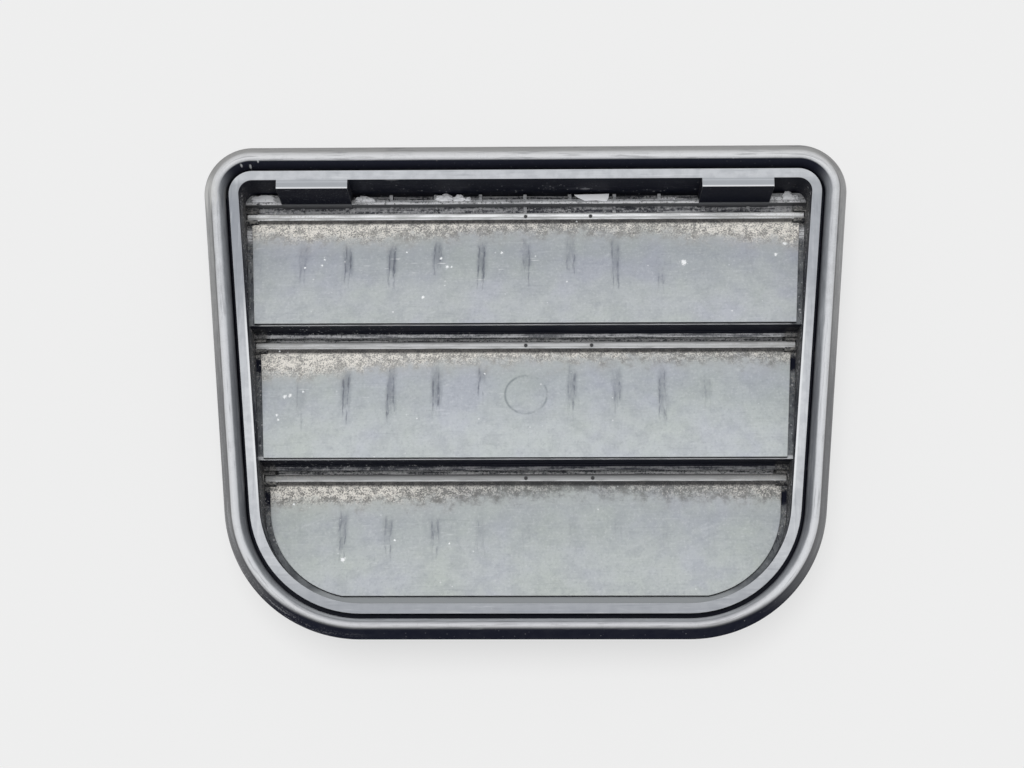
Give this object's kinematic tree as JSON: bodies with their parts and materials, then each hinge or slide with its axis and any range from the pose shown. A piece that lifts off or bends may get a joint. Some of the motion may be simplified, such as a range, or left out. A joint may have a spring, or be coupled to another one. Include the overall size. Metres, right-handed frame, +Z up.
{
  "type": "ventilation grille",
  "caption": "Tapered rectangular cabin air outlet grille: a clip-in frame with a sealing lip round its rim and hinged flaps that swing outward under air pressure.",
  "frame": {"origin": "mid-width and mid-height of the rim, in the plane where the seal's back lip meets the panel", "axes": "-Y out of the face toward the outside air, +Y through the panel into the duct, +Z up the face toward the hinge side of each flap, +X to the right seen from the front"},
  "size_m": [0.191, 0.023, 0.1462],
  "materials": {
    "frame_plastic": "black moulded plastic, dulled and greyed by dust on what faces out",
    "seal_rubber": "black soft moulded lip with a grey bloom on its crest",
    "flap_plastic": "black flap faded to a pale dusty grey, with a band of dirt under the rod"
  },
  "bodies": {
    "housing": {"frame": "frame_plastic", "perimeter_seal": "seal_rubber"},
    "upper_flap": {"upper_flap": "flap_plastic"},
    "middle_flap": {"middle_flap": "flap_plastic"},
    "lower_flap": {"lower_flap": "flap_plastic"}
  },
  "joints": [
    {"name": "upper_flap_hinge", "type": "hinge", "parent": "housing", "child": "upper_flap", "pos_m": [0, 0.0065, 0.05535], "axis": [-1, 0, 0], "range_deg": [0, 70]},
    {"name": "middle_flap_hinge", "type": "hinge", "parent": "housing", "child": "middle_flap", "pos_m": [0, 0.0065, 0.0152], "axis": [-1, 0, 0], "range_deg": [0, 70]},
    {"name": "lower_flap_hinge", "type": "hinge", "parent": "housing", "child": "lower_flap", "pos_m": [0, 0.0065, -0.02495], "axis": [-1, 0, 0], "range_deg": [0, 70]}
  ]
}
